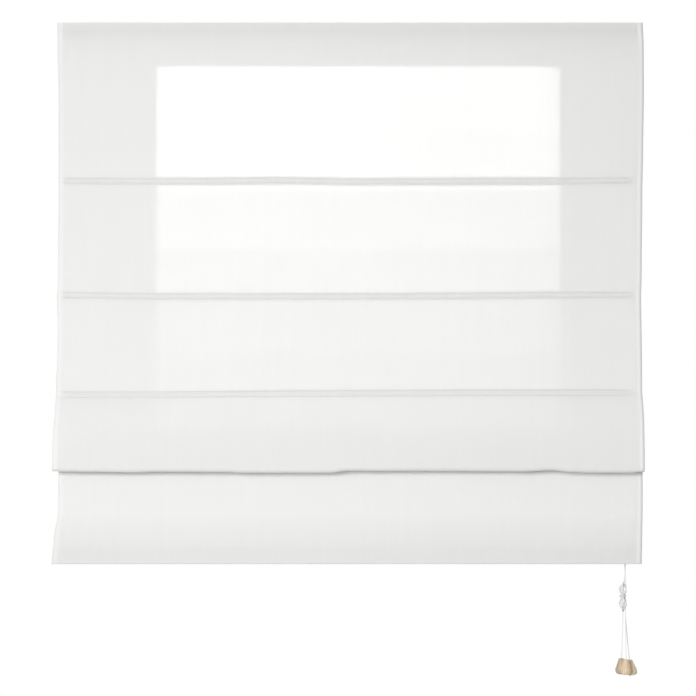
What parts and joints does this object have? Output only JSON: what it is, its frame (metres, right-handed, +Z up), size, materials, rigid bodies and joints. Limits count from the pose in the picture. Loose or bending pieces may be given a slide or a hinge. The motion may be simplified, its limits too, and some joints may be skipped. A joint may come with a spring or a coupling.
{
  "type": "roman blind",
  "caption": "White roman blind hung part raised from a head rail on wall brackets, with rods in sewn pockets, a cord lock and wooden cord acorns.",
  "frame": {"origin": "centre of the four wall screw holes of the two brackets, on the wall's surface", "axes": "+X to the right as seen from the room, -Y out into the room, +Z up"},
  "size_m": [1, 0.0872, 1.1283],
  "materials": {
    "cloth": "plain-woven white polyester cloth, matt",
    "hem_bar": "mill finish",
    "rods": "white glass-fibre rod",
    "rod_caps": "soft white moulding",
    "rings": "white moulded ring",
    "rail": "white powder coat",
    "end_caps": "white moulding",
    "hook_tape": "nylon hooks",
    "loop_tape": "brushed loops",
    "brackets": "zinc plated",
    "fasteners": "zinc plated",
    "housings": "white nylon moulding",
    "rollers": "natural acetal",
    "pins": "ground steel",
    "lock_roller": "knurled",
    "cords": "white braided cord",
    "acorns": "pale turned wood, sealed"
  },
  "bodies": {
    "blind": {"acorn_left": "acorns", "acorn_middle": "acorns", "acorn_right": "acorns", "bracket_left": "brackets", "bracket_right": "brackets", "cloth": "cloth", "cord_guide_left": "housings", "cord_guide_middle": "housings", "cord_guide_right": "housings", "cord_hank": "cords", "cord_lock_housing": "housings", "guide_pin_left": "pins", "guide_pin_middle": "pins", "guide_pin_right": "pins", "head_rail": "rail", "hem_weight_bar": "hem_bar", "hook_tape": "hook_tape", "lift_cord_left": "cords", "lift_cord_middle": "cords", "lift_cord_right": "cords", "lock_guide_pin": "pins", "loop_tape": "loop_tape", "pull_cord_left_lower": "cords", "pull_cord_left_upper": "cords", "pull_cord_middle_lower": "cords", "pull_cord_middle_upper": "cords", "pull_cord_right_lower": "cords", "pull_cord_right_upper": "cords", "rail_end_cap_left": "end_caps", "rail_end_cap_right": "end_caps", "ring_1_left": "rings", "ring_1_middle": "rings", "ring_1_right": "rings", "ring_2_left": "rings", "ring_2_middle": "rings", "ring_2_right": "rings", "ring_3_left": "rings", "ring_3_middle": "rings", "ring_3_right": "rings", "ring_4_left": "rings", "ring_4_middle": "rings", "ring_4_right": "rings", "rod_1": "rods", "rod_1_end_caps": "rod_caps", "rod_2": "rods", "rod_2_end_caps": "rod_caps", "rod_3": "rods", "rod_3_end_caps": "rod_caps", "rod_4": "rods", "rod_4_end_caps": "rod_caps", "slide_nuts": "fasteners", "slot_screws": "fasteners"},
    "left_guide_roller": {"guide_roller_left": "rollers"},
    "middle_guide_roller": {"guide_roller_middle": "rollers"},
    "right_guide_roller": {"guide_roller_right": "rollers"},
    "lock_entry_roller": {"lock_guide_roller": "rollers"},
    "lock_pin": {"lock_roller_pin": "pins"},
    "lock_grip_roller": {"lock_roller": "lock_roller"}
  },
  "joints": [
    {"name": "left_guide_roller_spin", "type": "hinge", "parent": "blind", "child": "left_guide_roller", "pos_m": [-0.344, -0.017, -0.0015], "axis": [0, 1, 0], "continuous": true},
    {"name": "middle_guide_roller_spin", "type": "hinge", "parent": "blind", "child": "middle_guide_roller", "pos_m": [0.006, -0.017, -0.0015], "axis": [0, 1, 0], "continuous": true},
    {"name": "right_guide_roller_spin", "type": "hinge", "parent": "blind", "child": "right_guide_roller", "pos_m": [0.356, -0.017, -0.0015], "axis": [0, 1, 0], "continuous": true},
    {"name": "lock_entry_roller_spin", "type": "hinge", "parent": "blind", "child": "lock_entry_roller", "pos_m": [0.47, -0.017, -0.0015], "axis": [0, 1, 0], "continuous": true},
    {"name": "lock_pin_travel", "type": "slide", "parent": "blind", "child": "lock_pin", "axis": [0.5, 0, 0.866], "range_m": [0, 0.003]},
    {"name": "lock_grip_roller_spin", "type": "hinge", "parent": "lock_pin", "child": "lock_grip_roller", "pos_m": [0.481, -0.017, -0.014], "axis": [0, 1, 0], "continuous": true}
  ],
  "couplings": [
    {"joint": "middle_guide_roller_spin", "follows": "left_guide_roller_spin", "ratio": 1},
    {"joint": "right_guide_roller_spin", "follows": "left_guide_roller_spin", "ratio": 1},
    {"joint": "lock_entry_roller_spin", "follows": "left_guide_roller_spin", "ratio": 1}
  ]
}
